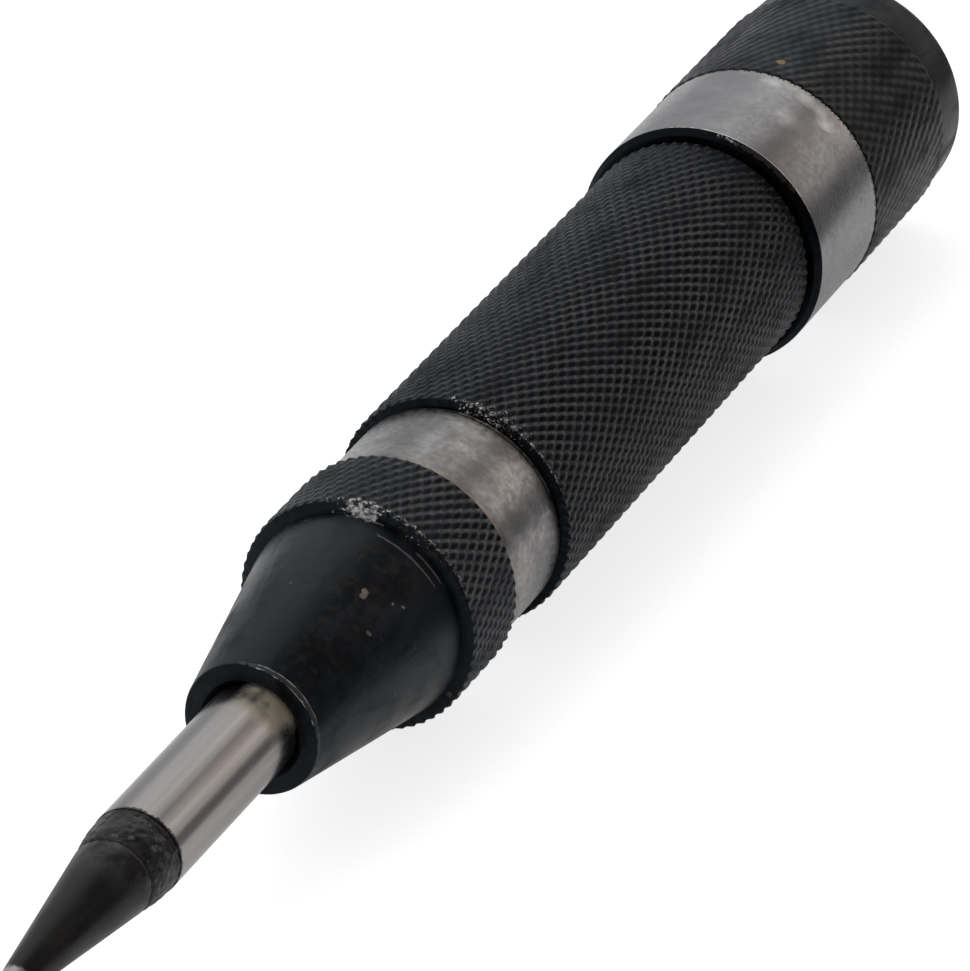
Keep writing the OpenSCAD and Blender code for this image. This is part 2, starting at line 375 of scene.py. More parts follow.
def rounded(corners, steps=3):
    """Outline points from corners (station, radius, break), each broken by a small arc."""
    places = [Vector(corner[:2]) for corner in corners]
    points = [(*places[0], None)]
    for before, here, after, corner in zip(places, places[1:], places[2:], corners[1:]):
        come, go = (here - before).normalized(), (after - here).normalized()
        bend = come.angle(go)
        size = corner[2] if len(corner) > 2 else 0
        if size == 0 or bend < 0.05:
            points.append((*here, None))
            continue
        reach = min(size * math.tan(bend / 2), 0.45 * (here - before).length, 0.45 * (after - here).length)
        start, end = here - come * reach, here + go * reach
        for step in range(steps + 1):
            t = step / steps
            spot = start.lerp(here, t).lerp(here.lerp(end, t), t)
            points.append((*spot, None))
    points.append((*places[-1], None))
    return points


def stretch(start, end, spacing, mark):
    """Closely spaced outline points from one (station, radius) to another, all with one mark."""
    start, end = Vector(start), Vector(end)
    count = max(1, round((end - start).length / spacing))
    return [(*start.lerp(end, step / count), mark) for step in range(count + 1)]


def evaluated(piece, tree, values):
    """Gives the piece its Geometry Nodes shape with those input values, as a plain mesh."""
    modifier = piece.modifiers.new(tree.name, "NODES")
    modifier.node_group = tree
    for item in tree.interface.items_tree:
        if item.item_type == "SOCKET" and item.in_out == "INPUT" and item.name in values:
            modifier[item.identifier] = values[item.name]
    bpy.context.view_layer.update()
    shaped = piece.evaluated_get(bpy.context.evaluated_depsgraph_get())
    mesh = bpy.data.meshes.new_from_object(shaped)
    piece.modifiers.clear()
    piece.data = mesh
    return piece


lathe = lathe_tree()


def turned(name, outline, finish, closed=True, columns=180, **values):
    """Turned piece with its outline given in metres."""
    mesh = bpy.data.meshes.new(name + "_outline")
    mesh.from_pydata([(station, radius, 0) for station, radius, _ in outline], [], [])
    for mark in ("knurl", "thread", "rough"):
        share = mesh.attributes.new(mark, "FLOAT", "POINT")
        share.data.foreach_set("value", [float(point[2] == mark) for point in outline])
    piece = new_piece(name, mesh)
    values = {socket_name(label): value for label, value in values.items()}
    values.update({"Closed": int(closed), "Columns": columns, "Axis Height": axis_height, "Finish": finish})
    return evaluated(piece, lathe, values)


def knurled(front, rear, radius, edge, row):
    """Outline of a knurled stretch with a chamfer at each end."""
    fine = edge / 3
    return (stretch((front, radius - edge), (front + edge, radius), fine, "knurl")
            + stretch((front + edge, radius), (rear - edge, radius), row, "knurl")[1:]
            + stretch((rear - edge, radius), (rear, radius - edge), fine, "knurl")[1:])


def object_place(tree):
    """Where the shaded point is in the part's own frame."""
    return add_node(tree, "ShaderNodeTexCoord").outputs["Object"]


def off_axis(tree):
    """From the tool's axis straight out to the shaded point."""
    away = vectors("SUBTRACT", object_place(tree), (0, 0, axis_height))
    return vectors("MULTIPLY", away, (0, 1, 1))


def marks_group():
    """Cloudy marks that can be drawn out along the tool or round it."""
    tree, given = new_tree("tool_marks", "ShaderNodeTree", {
        "Along": 100.0, "Across": 100.0, "Detail": 3.0, "Low": 0.4, "High": 0.6, "Seed": 0.0,
    }, ["Marks"])
    where = object_place(tree)
    pull = joined(tree, given["Along"], given["Across"], given["Across"])
    cloud = noise(vectors("MULTIPLY", where, pull), given["Seed"], 1.0, given["Detail"])
    spread = add_node(tree, "ShaderNodeMapRange", {
        "Value": cloud, "From Min": given["Low"], "From Max": given["High"]},
        interpolation_type="SMOOTHSTEP")
    add_node(tree, "NodeGroupOutput", {0: spread.outputs[0]})
    return tree


def wear_group():
    """Bare metal where a finish is rubbed or chipped off round an edge, mostly on one side."""
    tree, given = new_tree("edge_wear", "ShaderNodeTree", {
        "Station": 0.0, "Reach": 0.001, "Side": (0, 0, 1), "Spread": 0.3, "Chips": 3000.0,
        "Amount": 0.5, "Seed": 0.0,
    }, ["Bare", "Facing", "Nearness"])
    where = object_place(tree)
    facing = vectors("DOT_PRODUCT", vectors("NORMALIZE", off_axis(tree)), given["Side"])
    turned_away = minus(1, facing)
    side = minus(1, over(turned_away, given["Spread"]), clamp=True)
    gap = maths("ABSOLUTE", minus(split(where)["X"], given["Station"]))
    near = minus(1, over(gap, given["Reach"]), clamp=True)
    chips = noise(where, given["Seed"], given["Chips"], 4.0)
    likely = times(maths("POWER", near, 0.5), maths("POWER", side, 0.5))
    whole, crispness = 0.8, 16
    bare = minus(chips, minus(whole, times(likely, given["Amount"])))
    add_node(tree, "NodeGroupOutput", {
        0: times(bare, crispness, clamp=True), 1: side, 2: times(near, side)})
    return tree


def speck_group():
    """Scattered small specks of dust, rust or chipping, each of its own size."""
    tree, given = new_tree("specks", "ShaderNodeTree", {
        "Count": 1000.0, "Size": 0.3, "Share": 0.1, "Seed": 0.0,
    }, ["Specks"])
    where = object_place(tree)
    finer, bend = 3.0, 0.2 * MM
    wobble = add_node(tree, "ShaderNodeTexNoise", {
        "Vector": where, "Scale": times(given["Count"], finer)}).outputs["Color"]
    where = vectors("ADD", where, vectors("MULTIPLY", wobble, (bend, bend, bend)))
    cells = add_node(tree, "ShaderNodeTexVoronoi", {
        "Vector": where, "W": given["Seed"], "Scale": given["Count"]}, voronoi_dimensions="4D")
    chance = add_node(tree, "ShaderNodeSeparateColor", {0: cells.outputs["Color"]}).outputs
    chosen = under(chance[0], given["Share"])
    vary, smallest, crispness = 0.8, 0.2, 12
    size = times(given["Size"], times_plus(chance[1], vary, smallest))
    inside = times(minus(size, cells.outputs["Distance"]), crispness, clamp=True)
    add_node(tree, "NodeGroupOutput", {0: times(inside, chosen)})
    return tree


def fleck_group():
    """One fleck or patch at a given place, with a ragged outline that is crisp or soft."""
    tree, given = new_tree("fleck", "ShaderNodeTree", {
        "Place": (0, 0, 0), "Radius": 0.0002, "Crispness": 3.0,
    }, ["Fleck"])
    where = object_place(tree)
    notches, depth, fullness = 0.6, 1.6, 0.2
    grain = over(notches, given["Radius"])
    ragged = add_node(tree, "ShaderNodeTexNoise", {"Vector": where, "Scale": grain}).outputs[0]
    edge = over(vectors("DISTANCE", where, given["Place"]), given["Radius"])
    edge = times_plus(ragged, depth, minus(fullness, edge))
    add_node(tree, "NodeGroupOutput", {0: times(edge, given["Crispness"], clamp=True)})
    return tree


def knurl_group():
    """Sharp crests and pits of the same knurl as the lathe cuts, from 0 in a pit to 1 on a crest."""
    tree, given = new_tree("knurl_lines", "ShaderNodeTree", {
        "Right Starts": 60.0, "Right Pitch": 0.001, "Left Starts": 60.0, "Left Pitch": 0.001,
    }, ["Height"])
    where = split(object_place(tree))
    turn = over(maths("ARCTAN2", minus(where["Z"], axis_height), where["Y"]), 2 * math.pi)

    def pointed(phase):
        """Ridge with straight flanks that meet in a line."""
        return times_plus(maths("PINGPONG", phase, 0.5), -2, 1)

    add_node(tree, "NodeGroupOutput", {0: knurl_height(turn, where["X"], given, pointed)})
    return tree


tool_marks = marks_group()
edge_wear = wear_group()
specks = speck_group()
fleck = fleck_group()
knurl_lines = knurl_group()


def grouped(tree, group, output=0, **values):
    """Output of a shader node group placed with its own values."""
    node = add_node(tree, "ShaderNodeGroup", node_tree=group)
    for label, value in values.items():
        node.inputs[socket_name(label)].default_value = value
    return node.outputs[output]


marks = partial(grouped, group=tool_marks)
wear = partial(grouped, group=edge_wear)


def blended(share, below, above):
    """Colour below, covered by colour above as far as share says."""
    colours = [colour if isinstance(colour, bpy.types.NodeSocket) else (*colour, 1)
               for colour in (below, above)]
    mix = add_node(share.id_data, "ShaderNodeMix", {0: share, 6: colours[0], 7: colours[1]},
                   data_type="RGBA")
    return mix.outputs[2]


def shaded(colour, share):
    """The colour, darker or lighter by that share."""
    return tuple(share * part for part in colour)


def between(share, low, high):
    """Number from low to high as far as share says."""
    limits = {"Value": share, "To Min": low, "To Max": high}
    return add_node(share.id_data, "ShaderNodeMapRange", limits).outputs[0]


def coat(skin, colour, rough, relief, depth, strength=1.0, metal=None):
    """Gives a skin its worked-out colour and roughness, a bump and, where it varies, its metal."""
    bump = add_node(skin.id_data, "ShaderNodeBump",
                    {"Height": relief, "Strength": strength, "Distance": depth}).outputs[0]
    given = {"Base Color": colour, "Roughness": rough, "Normal": bump, "Metallic": metal}
    for name, value in given.items():
        if value is not None:
            skin.id_data.links.new(value, skin.inputs[name])


def new_finish(name, colour, metallic):
    """Empty material: its tree and its Principled BSDF."""
    finish = bpy.data.materials.new(name)
    finish.use_nodes = True
    finish.diffuse_color = (*colour, 1)
    skin = finish.node_tree.nodes["Principled BSDF"]
    skin.inputs["Metallic"].default_value = metallic
    return finish, finish.node_tree, skin


def rim_side(degrees):
    """Direction across the axis, in degrees from +Y over the top."""
    return (0, math.cos(math.radians(degrees)), math.sin(math.radians(degrees)))


def rim(degrees, station, **settings):
    """Settings of the wear round an edge: the side it is on, its place and its make."""
    return dict(side=rim_side(degrees), station=station, **settings)


def spot(station, degrees, radius, size, crispness):
    """Settings of a fleck: its place along the tool, round it and off its axis, and its size."""
    side = Vector(rim_side(degrees)) * radius
    return dict(place=(station, side.y, axis_height + side.z), radius=size, crispness=crispness)


def black_oxide(name, knurling, crest_grey_worn_and_highlit, gloss, bloom=0.0, crispness=10.0, worn_edges=(),
                rubbed_edges=(), stains=(), flecks=(), dust=None, haze=None):
    """Black-oxide steel: bare worn edges, greyed edges, stains, flecks, dust and wiped haze, knurl crests
    greyed by wear and painted highlight, and painted shade on faces turned towards the point.
    """
    colour = (0.0027, 0.0032, 0.0042)
    finish, tree, skin = new_finish(name, colour, 0)
    cloud = marks(tree, along=240, across=240, detail=5, low=0.35, high=0.7, seed=1)
    smear = marks(tree, along=700, across=420, detail=5, low=0.42, high=0.72, seed=2)
    wiped = marks(tree, along=170, across=620, detail=7, low=0.46, high=0.68, seed=9)
    grain = marks(tree, along=9000, across=9000, detail=3, low=0.2, high=0.8, seed=3)
    cut = add_node(tree, "ShaderNodeAttribute", attribute_name="knurl").outputs["Fac"]
    ridges = grouped(tree, knurl_lines, **knurling)
    tint = blended(cloud, colour, shaded(colour, 1.8))
    tint = blended(times(smear, 0.8), tint, shaded(colour, 3.5))
    # Knurl crests greyed towards their points: partly rubbing wear, partly a painted highlight on the crest
    # points
    worn_and_highlit_crests = times(times(maths("POWER", ridges, 4), cut), between(cloud, 0.5, 1.0))
    tint = blended(worn_and_highlit_crests, tint, (crest_grey_worn_and_highlit, 1.08 * crest_grey_worn_and_highlit, 1.25 * crest_grey_worn_and_highlit))
    if haze:
        tint = blended(times(wiped, 0.9), tint, haze)
    if dust:
        powder = marks(tree, along=1300, across=1300, detail=7, low=0.48, high=0.66, seed=5)
        powder = times(powder, wear(tree, output="Facing", **dust))
        tint = blended(powder, tint, (0.026, 0.022, 0.019))
    for group, places in ((specks, stains), (fleck, flecks)):
        for settings, stain in places:
            tint = blended(grouped(tree, group, **settings), tint, stain)
    for settings, grey in rubbed_edges:
        tint = blended(wear(tree, **settings), tint, (grey, grey, 1.02 * grey))

    # Bare steel only where a rubbing hand reaches: on crests and on plain turned surfaces
    reached = larger(exceeds(ridges, 0.36), under(cut, 0.5))
    bare = 0
    for settings in worn_edges:
        bare = larger(bare, wear(tree, **settings))
    bare = times(bare, reached)
    silver = marks(tree, along=3500, across=3500, seed=7)
    tint = blended(bare, tint, blended(silver, (0.14, 0.135, 0.13), (0.66, 0.64, 0.61)))

    # Painted shade: the faces turned towards the point are made metallic, so they render darker, standing in
    # for the shade that the parts ahead cast on them
    ahead = split(add_node(tree, "ShaderNodeTexCoord").outputs["Normal"])["X"]
    painted_front_shade = times(under(ahead, -0.6), 0.6)
    rough = times_plus(wiped, 0.2, times_plus(smear, 0.12, between(cloud, 0.27, 0.38)))
    relief = times_plus(wiped, 5, times_plus(smear, 1.5, times(grain, 0.5)))
    relief = times_plus(times(ridges, cut), crispness, relief)
    coat(skin, tint, rough, relief, 0.005 * MM, metal=larger(painted_front_shade, times(bare, 0.8)))
    skin.inputs["Specular IOR Level"].default_value = gloss
    skin.inputs["Specular Tint"].default_value = (0.85, 0.93, 1.0, 1.0)
    skin.inputs["Sheen Weight"].default_value = bloom
    skin.inputs["Sheen Roughness"].default_value = 0.3
    return finish


nose_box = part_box("nosepiece")
nose_front = nose_box[0].x
nose_base = nose_front + 15.0 * MM       # shoulder between the cone and the ring
ring_rear = nose_base + 6.4 * MM
groove_front = body_front - 0.25 * MM    # relief groove against the body's front face
nose_radius = 4.4 * MM
cone_radius = 7.1 * MM
ring_radius = 7.95 * MM
ring_edge = 0.2 * MM
band_radius = 7.38 * MM
band_bed = 7.0 * MM                      # under the ground band
groove_radius = band_radius - 0.2 * MM
bore_radius = 3.03 * MM
chamber_radius = 4.6 * MM
spigot_radius = 6.6 * MM
undercut_radius = spigot_radius - 0.4 * MM
undercut_rear = body_front + 1.2 * MM
chamber_front = nose_front + 9.9 * MM
spigot_rear = nose_box[1].x
knurl_depth = 0.18 * MM
ring_row = 0.185 * MM                    # between rows of points along the knurl

nose_outline = rounded([
    (chamber_front, bore_radius),
    (nose_front + 0.3 * MM, bore_radius, 0.05 * MM),
    (nose_front, bore_radius + 0.3 * MM, 0.05 * MM),
    (nose_front, nose_radius, 0.22 * MM),
    (nose_base - 0.2 * MM, cone_radius, 0.1 * MM),
    (nose_base, cone_radius - 0.02 * MM, 0.05 * MM),
    (nose_base, ring_radius - ring_edge),
]) + knurled(nose_base, ring_rear, ring_radius, ring_edge, ring_row) + rounded([
    (ring_rear, band_bed),
    (groove_front, band_bed),
    (groove_front, groove_radius),
    (body_front, groove_radius),
    (body_front, undercut_radius),
    (undercut_rear, undercut_radius),
    (undercut_rear, spigot_radius, 0.1 * MM),
    (spigot_rear, spigot_radius, 0.3 * MM),
    (spigot_rear, chamber_radius, 0.1 * MM),
    (chamber_front, chamber_radius),
])
ring_knurling = dict(right_starts=63, right_pitch=1.58 * MM, left_starts=60, left_pitch=1.39 * MM)
nose_black = black_oxide("nose_black", ring_knurling, worn_edges=[
    rim(94, nose_base + 0.2 * MM, reach=0.8 * MM, spread=0.015, chips=2600, amount=0.58, seed=3),
    rim(85, nose_base + 0.3 * MM, reach=0.5 * MM, spread=0.03, chips=4200, amount=0.36, seed=4),
    rim(124, nose_base + 0.28 * MM, reach=0.34 * MM, spread=0.2, chips=4200, amount=0.38, seed=5),
], rubbed_edges=[
    (rim(130, nose_front + 0.2 * MM, reach=0.19 * MM, spread=0.25, chips=1600, amount=1.0, seed=8), 0.55),
    (rim(140, nose_front + 0.19 * MM, reach=0.17 * MM, spread=0.6, chips=2500, amount=0.8, seed=11), 0.06),
    (rim(126, nose_base - 1.05 * MM, reach=0.1 * MM, spread=0.07, chips=2200, amount=0.7, seed=9), 0.15),
    (rim(138, nose_base - 0.45 * MM, reach=0.09 * MM, spread=0.025, chips=2200, amount=0.75,
         seed=10), 0.15),
    (rim(98, nose_base - 0.14 * MM, reach=0.12 * MM, spread=0.012, chips=2500, amount=0.9, seed=12), 0.2),
], stains=[
    (dict(count=420, size=0.5, share=0.08, seed=2), (0.019, 0.013, 0.010)),
    (dict(count=1700, size=0.42, share=0.035, seed=6), (0.07, 0.065, 0.06)),
], flecks=[
    (spot(nose_front + station * MM, degrees, radius * MM, size * MM, crispness), colour)
    for station, degrees, radius, size, crispness, colour in (
        (9.25, 121.6, 6.06, 0.3, 3, (0.24, 0.20, 0.16)),
        (9.6, 120.6, 6.14, 0.27, 3, (0.30, 0.26, 0.22)),
        (7.45, 139.3, 5.74, 0.2, 3, (0.18, 0.15, 0.12)),
        (10.4, 137, 6.27, 0.13, 3, (0.28, 0.24, 0.20)),
        (10.9, 142, 6.36, 0.13, 3, (0.28, 0.24, 0.20)),
        (10.1, 123, 6.2, 0.5, 1, (0.024, 0.013, 0.010)),
        (4.0, 130, 5.12, 0.5, 1, (0.019, 0.012, 0.010)),
        (5.95, 126, 5.47, 0.5, 1, (0.018, 0.012, 0.010)),
    )
], dust=dict(side=rim_side(124), spread=0.09), haze=(0.0150, 0.0170, 0.0220), gloss=0.28,
    crest_grey_worn_and_highlit=0.09, crispness=13.0)
nose_cone = turned("nose_cone", nose_outline, nose_black, columns=378,
                   knurl_radius=ring_radius, knurl_depth=knurl_depth, **ring_knurling)
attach(nose_cone, "casing")
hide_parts("nosepiece")

# ----------------------------------------------------------
# The ground band behind the nose ring.
# After blackening, the plain stretch between the ring and the body was ground back to bare
# steel. It is mottled grey now, rubbed round the tool, with a brown tint beside the ring.
# ----------------------------------------------------------


def ground_steel(name, colour, mottle, speckle, streaks, shine, tint_station, tint_reach, tint,
                 patches=(), drawn_edges=(), bitten_edge=None):
    """Ground steel band: clouded and speckled, stained beside one edge, with pale patches."""
    finish, tree, skin = new_finish(name, colour, 1)
    cloud = marks(tree, along=420, across=420, detail=3, low=0.36, high=0.64, seed=11)
    grain = marks(tree, along=2400, across=2400, detail=4, low=0.34, high=0.7, seed=12)
    rubs = marks(tree, along=4200, across=420, detail=2, low=0.42, high=0.72, seed=13)
    shade = blended(cloud, shaded(colour, 1 - mottle), shaded(colour, 1 + 0.7 * mottle))
    shade = blended(times(grain, speckle), shade, shaded(colour, 0.45))
    shade = blended(times(rubs, streaks), shade, shaded(colour, 1.5))
    for settings, share in patches:
        shade = blended(times(grouped(tree, fleck, **settings), share), shade, shaded(colour, 2.3))
    stain = wear(tree, station=tint_station, reach=tint_reach, spread=3.0, chips=900, amount=0.55, seed=4)
    shade = blended(times(stain, 0.45), shade, tint)
    for settings, drawn in drawn_edges:
        shade = blended(wear(tree, **settings), shade, drawn)
    if bitten_edge:
        settings, knurling = bitten_edge
        pits = under(grouped(tree, knurl_lines, **knurling), 0.34)
        teeth = times(pits, wear(tree, **settings))
        shade = blended(teeth, shade, (0.006, 0.006, 0.006))
    relief = times_plus(cloud, 3 * mottle, times_plus(rubs, 4 * streaks, grain))
    coat(skin, shade, between(grain, shine - 0.03, shine + 0.08), relief, 0.012 * speckle * MM)
    return finish


band_steel = ground_steel(
    "nose_band_steel", (0.29, 0.28, 0.272), mottle=0.3, speckle=0.4, streaks=0.12, shine=0.3,
    tint_station=ring_rear, tint_reach=1.5 * MM, tint=(0.21, 0.165, 0.13),
    drawn_edges=[
        (rim(120, groove_front - 0.27 * MM, reach=0.08 * MM, spread=0.3, chips=1800, amount=0.7,
             seed=15), (0.05, 0.045, 0.035)),
        (rim(126, groove_front - 0.12 * MM, reach=0.14 * MM, spread=0.16, chips=1800, amount=0.95,
             seed=16), (0.92, 0.87, 0.75)),
    ])
nose_band = turned("nose_band", rounded([
    (ring_rear, band_bed),
    (ring_rear, band_radius),
    (groove_front, band_radius, 0.06 * MM),
    (groove_front, band_bed),
]), band_steel, columns=180)
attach(nose_band, "casing")
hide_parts("nosepiece")

# ----------------------------------------------------------
# The punch point: black hardened taper and bright ground shank in one steel pin.
# The taper is black from hardening and has a small ground tip. Where the shank was ground, the
# taper's scaly shoulder stops in a rough dome; the shank shows polish streaks along it.
# ----------------------------------------------------------
point_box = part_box("punch_point")
tip = point_box[0].x
shank_front = tip + 20.8 * MM
shank_radius = 2.95 * MM
neck_radius = 2.6 * MM
neck_front = shank_front - 3.2 * MM
head_radius = 4.5 * MM
head_rear = point_box[1].x
head_front = head_rear - 4.0 * MM
socket_radius = 1.55 * MM
socket_floor = head_rear - 2.7 * MM
notch_radius = neck_radius - 0.13 * MM   # groove between the taper and the dome
shoulder_front = neck_front - 0.15 * MM
shoulder_radius = neck_radius - 0.03 * MM
tip_rear = tip + 5.9 * MM                # where the ground tip ends


def quarter(front, rear, steps, mark, square=False):
    """Quarter of an ellipse between two (station, radius) points, without the first.

    It leaves the front one straight outwards, or along the tool where it ends square.
    """
    points = []
    for step in range(1, steps + 1):
        turn = math.pi / 2 * step / steps
        slow, fast = 1 - math.cos(turn), math.sin(turn)
        along, out = (fast, slow) if square else (slow, fast)
        points.append((front[0] + along * (rear[0] - front[0]), front[1] + out * (rear[1] - front[1]), mark))
    return points


tip_round = 0.25 * MM
notch = (neck_front + 0.25 * MM, notch_radius)
taper_outline = (
    [(tip, 0, None)]
    + quarter((tip, 0), (tip + tip_round, tip_round), 4, None)[:-1]
    + stretch((tip + 0.3 * MM, 0.3 * MM), (shoulder_front, shoulder_radius), 0.4 * MM, None)
    + quarter((shoulder_front, shoulder_radius), notch, 8, "rough", square=True)
    + quarter(notch, (shank_front, shank_radius), 24, "rough")
    + [(shank_front, 0, None)]
)


def taper_black(name, colour, ash, ground):
    """Satin black of the hardened taper, ashy scale on the dome and a bare ground tip."""
    finish, tree, skin = new_finish(name, colour, 0)
    cloud = marks(tree, along=300, across=650, detail=5, low=0.35, high=0.7, seed=21)
    scaly = add_node(tree, "ShaderNodeAttribute", attribute_name="scaly").outputs["Fac"]
    lift = over(scaly, 0.1 * MM, clamp=True)
    crust = exceeds(scaly, 0.002 * MM)
    tint = blended(cloud, colour, shaded(colour, 2.6))
    grit = marks(tree, along=2600, across=2600, detail=4, low=0.35, high=0.7, seed=25)
    ashy = blended(grit, shaded(ash, 0.35), ash)
    tint = blended(times(crust, 0.9), tint, ashy)
    tint = blended(times(maths("POWER", lift, 2), 0.5), tint, (0.002, 0.002, 0.002))
    pale = grouped(tree, specks, count=2400, size=0.72, share=0.5, seed=22)
    tint = blended(times(pale, crust), tint, (0.11, 0.113, 0.116))
    caked = wear(tree, output="Nearness", station=neck_front, reach=3.4 * MM, spread=1.4)
    clotted = marks(tree, along=900, across=900, detail=6, low=0.42, high=0.58, seed=27)
    caked = times(times(caked, 1.6), clotted, clamp=True)
    tint = blended(caked, tint, (0.045, 0.044, 0.042))
    burnt = wear(tree, station=shank_front, reach=0.7 * MM, spread=40, chips=1500, amount=0.85, seed=26)
    tint = blended(burnt, tint, (0.0025, 0.0022, 0.002))
    edge = times_plus(grit, 0.3 * MM, split(object_place(tree))["X"])
    bare = over(minus(tip_rear, edge), 0.35 * MM, clamp=True)
    tint = blended(bare, tint, ground)
    grain = marks(tree, along=5000, across=5000, detail=4, low=0.2, high=0.8, seed=24)
    coat(skin, tint, between(cloud, 0.32, 0.48), times_plus(times(grit, crust), 3, grain),
         0.008 * MM, strength=0.8, metal=bare)
    skin.inputs["Specular IOR Level"].default_value = 0.27
    return finish


taper_finish = taper_black("taper_black", (0.0042, 0.0035, 0.0029), ash=(0.032, 0.033, 0.034),
                           ground=(0.42, 0.41, 0.40))
point_taper = turned("point_taper", taper_outline, taper_finish, closed=False, columns=160,
                     scale_depth=0.1 * MM, scale_size=0.34 * MM, seed=4.0)
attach(point_taper, "point")
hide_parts("punch_point")


def shank_bright(name, colour, stain_station):
    """Ground and polished shank: streaks along it, painted shade along one side, and old oil burnt brown
    where the nose rubs.
    """
    finish, tree, skin = new_finish(name, colour, 1)
    broad = marks(tree, along=16, across=480, detail=2, low=0.36, high=0.64, seed=31)
    thin = marks(tree, along=50, across=2200, detail=3, low=0.3, high=0.72, seed=32)
    cloud = marks(tree, along=260, across=330, detail=4, low=0.36, high=0.7, seed=33)
    shade = blended(broad, shaded(colour, 0.84), shaded(colour, 1.08))
    shade = blended(times(thin, 0.2), shade, shaded(colour, 0.6))
    shade = blended(times(cloud, 0.2), shade, (0.36, 0.27, 0.22))
    # Painted shade: the side facing 60 degrees round the tool from +Y is darkened towards half its colour
    painted_shade_side = wear(tree, output="Facing", side=rim_side(60), spread=0.08)
    shade = blended(times(painted_shade_side, 0.75), shade, shaded(colour, 0.5))
    oil = wear(tree, output="Nearness", **rim(124, stain_station, reach=3.0 * MM, spread=0.3))
    patchy = marks(tree, along=700, across=900, detail=5, low=0.2, high=0.62, seed=34)
    oil = times(times(oil, 2.0), patchy, clamp=True)
    shade = blended(oil, shade, (0.80, 0.69, 0.52))
    grime = wear(tree, **rim(128, stain_station, reach=1.6 * MM, spread=0.2, chips=1900,
                             amount=0.12, seed=36))
    shade = blended(times(grime, 0.6), shade, (0.06, 0.05, 0.04))
    scale = wear(tree, station=shank_front, reach=0.28 * MM, spread=40, chips=3400, amount=0.5, seed=35)
    shade = blended(scale, shade, (0.003, 0.003, 0.003))
    metal = times_plus(oil, -0.75, minus(1, scale), clamp=True)
    rough = times_plus(oil, 0.25, between(thin, 0.2, 0.29))
    coat(skin, shade, rough, thin, 0.003 * MM, strength=0.5, metal=metal)
    return finish


shank_finish = shank_bright("shank_bright", (0.37, 0.355, 0.345), nose_front)
point_shank = turned("point_shank", [(shank_front, 0, None)] + rounded([
    (shank_front, shank_radius),
    (shank_front + 0.5 * MM, shank_radius),
    (head_front, shank_radius),
    (head_front, head_radius, 0.1 * MM),
    (head_rear, head_radius, 0.3 * MM),
    (head_rear, socket_radius, 0.05 * MM),
    (socket_floor, socket_radius),
]) + [(socket_floor, 0, None)], shank_finish, closed=False, columns=160)
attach(point_shank, "point")
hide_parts("punch_point")

# ----------------------------------------------------------
# The knurled body, which the hand holds.
# A black-oxide steel tube, diamond-knurled from end to end; its front edge has lost specks of
# finish on the upper side. The bore inside carries the hammer and narrows to trip it.
# ----------------------------------------------------------
body_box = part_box("body_tube")
body_radius = 8.0 * MM
body_rear = body_front + 39.4 * MM
body_edge = 0.2 * MM
body_row = 0.2 * MM
mouth_radius = spigot_radius + 0.05 * MM
guide_radius = 5.3 * MM
trip_radius = 6.2 * MM
trip_rear = body_front + 16.4 * MM
trip_front = body_front + 9.1 * MM
guide_front = trip_rear + 9.0 * MM

body_outline = rounded([
    (trip_front, mouth_radius),
    (body_front, mouth_radius),
    (body_front, body_radius - body_edge),
]) + knurled(body_front, body_rear, body_radius, body_edge, body_row) + rounded([
    (body_rear, guide_radius),
    (guide_front, guide_radius),
    (trip_rear, trip_radius),
    (trip_front, trip_radius),
])
body_knurling = dict(right_starts=60, right_pitch=1.55 * MM, left_starts=65, left_pitch=1.38 * MM)
body_black = black_oxide("body_black", body_knurling, worn_edges=[
    rim(103, body_front + 0.3 * MM, reach=0.6 * MM, spread=0.05, chips=5600, amount=0.38, seed=13),
    rim(118, body_front + 0.4 * MM, reach=1.4 * MM, spread=0.06, chips=5200, amount=0.3, seed=15),
    rim(128, body_front + 0.14 * MM, reach=0.12 * MM, spread=0.2, chips=5200, amount=0.46, seed=19),
], stains=[
    (dict(count=1100, size=0.45, share=0.03, seed=12), (0.10, 0.10, 0.10)),
    (dict(count=1900, size=0.6, share=0.1, seed=14), (0.022, 0.024, 0.028)),
], haze=(0.0060, 0.0068, 0.0088), crest_grey_worn_and_highlit=0.07, gloss=0.17, bloom=0.15, crispness=14.0)
body_grip = turned("body_grip", body_outline, body_black, columns=390,
                   knurl_radius=body_radius, knurl_depth=knurl_depth, **body_knurling)
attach(body_grip, "casing")
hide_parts("body_tube")

# ----------------------------------------------------------
# The body's rear thread, which the adjusting cap screws on.
# It is cut in the same tube, 1 mm pitch and right-handed, and shows only when the cap is
# backed off. Its flanks are bright where the cap has run on them, with oil left in the roots.
# ----------------------------------------------------------
thread_radius = 6.9 * MM
thread_pitch = 1.0 * MM
tube_rear = body_box[1].x


def thread_steel(name, colour, root):
    """Oiled machined thread: bright on its flanks and dark in its roots."""
    finish, tree, skin = new_finish(name, colour, 1)
    rings = marks(tree, along=7000, across=250, detail=2, low=0.3, high=0.7, seed=41)
    cloud = marks(tree, along=500, across=500, detail=4, low=0.35, high=0.65, seed=42)
    shade = blended(cloud, shaded(colour, 0.7), colour)
    deep = add_node(tree, "ShaderNodeMapRange", {
        "Value": vectors("LENGTH", off_axis(tree)),
        "From Min": thread_radius - 0.25 * MM, "From Max": thread_radius - 0.55 * MM})
    shade = blended(deep.outputs[0], shade, root)
    coat(skin, shade, between(rings, 0.25, 0.42), rings, 0.005 * MM, strength=0.5)
    return finish


